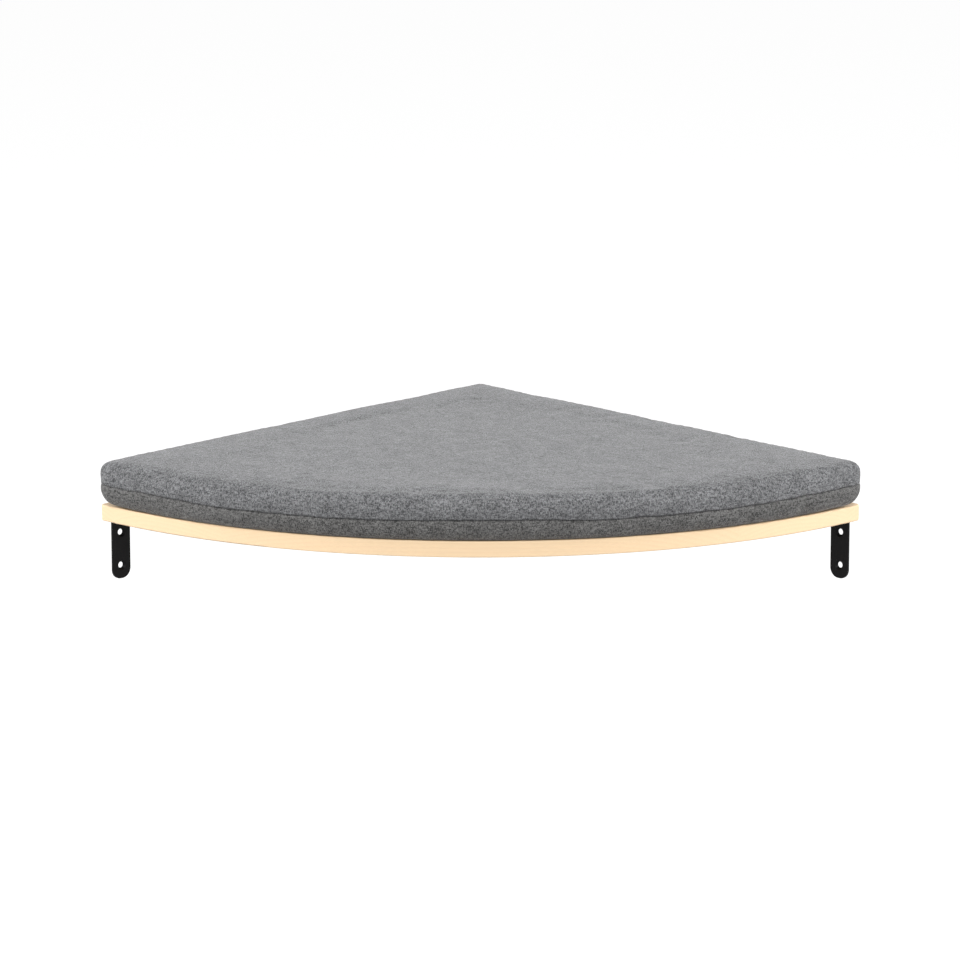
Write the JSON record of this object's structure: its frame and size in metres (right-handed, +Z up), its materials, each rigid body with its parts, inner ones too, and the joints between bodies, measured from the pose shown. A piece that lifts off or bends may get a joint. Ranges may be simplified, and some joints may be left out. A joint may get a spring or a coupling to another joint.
{
  "type": "wall-mounted corner cat bed",
  "caption": "Quarter-round corner shelf bed: a pale wooden board on bent black wall brackets, with a zipped grey foam cushion on top.",
  "frame": {"origin": "the corner of the room where the two walls meet, at the height of the board's underside", "axes": "one wall is the plane X = 0 and the other is Y = 0; +X and +Y run along the walls away from the corner, over the board, and +Z is up. The picture looks from +X +Y towards the corner."},
  "size_m": [0.4022, 0.4022, 0.0948],
  "materials": {
    "board_wood": "pale pine, fine sanded, clear satin lacquer",
    "bracket_paint": "black powder coat, satin",
    "screw_steel": "zinc-plated steel",
    "cushion_fabric": "heathered grey short-pile fabric",
    "foam": "open-cell foam",
    "fastener_black": "black woven hook and loop tape",
    "zip_tape": "dark grey woven zip tape",
    "zip_teeth": "dark grey moulded plastic",
    "zip_metal": "cast metal, grey plated"
  },
  "bodies": {
    "shelf": {"shelf_board": "board_wood", "left_outer_bracket": "bracket_paint", "left_inner_bracket": "bracket_paint", "right_outer_bracket": "bracket_paint", "right_inner_bracket": "bracket_paint", "left_outer_screws": "screw_steel", "left_inner_screws": "screw_steel", "right_outer_screws": "screw_steel", "right_inner_screws": "screw_steel", "hook_patches": "fastener_black"},
    "cushion": {"cover_bottom": "cushion_fabric", "cover_top": "cushion_fabric", "foam_core": "foam", "loop_patches": "fastener_black", "zip_upper_tape": "zip_tape", "zip_lower_tape": "zip_tape", "zip_upper_teeth": "zip_teeth", "zip_lower_teeth": "zip_teeth", "zip_stops": "zip_metal"},
    "slider": {"zip_slider": "zip_metal"},
    "pull": {"zip_pull": "zip_metal"}
  },
  "joints": [
    {"name": "cushion_lift", "type": "slide", "parent": "shelf", "child": "cushion", "axis": [0, 0, 1], "range_m": [0, 0.15]},
    {"name": "zip_slide", "type": "slide", "parent": "cushion", "child": "slider", "axis": [0, -1, 0], "range_m": [0, 0.26]},
    {"name": "pull_swing", "type": "hinge", "parent": "slider", "child": "pull", "pos_m": [0.003, 0.3252, 0.029], "axis": [0, 0, -1], "range_deg": [0, 170]}
  ]
}
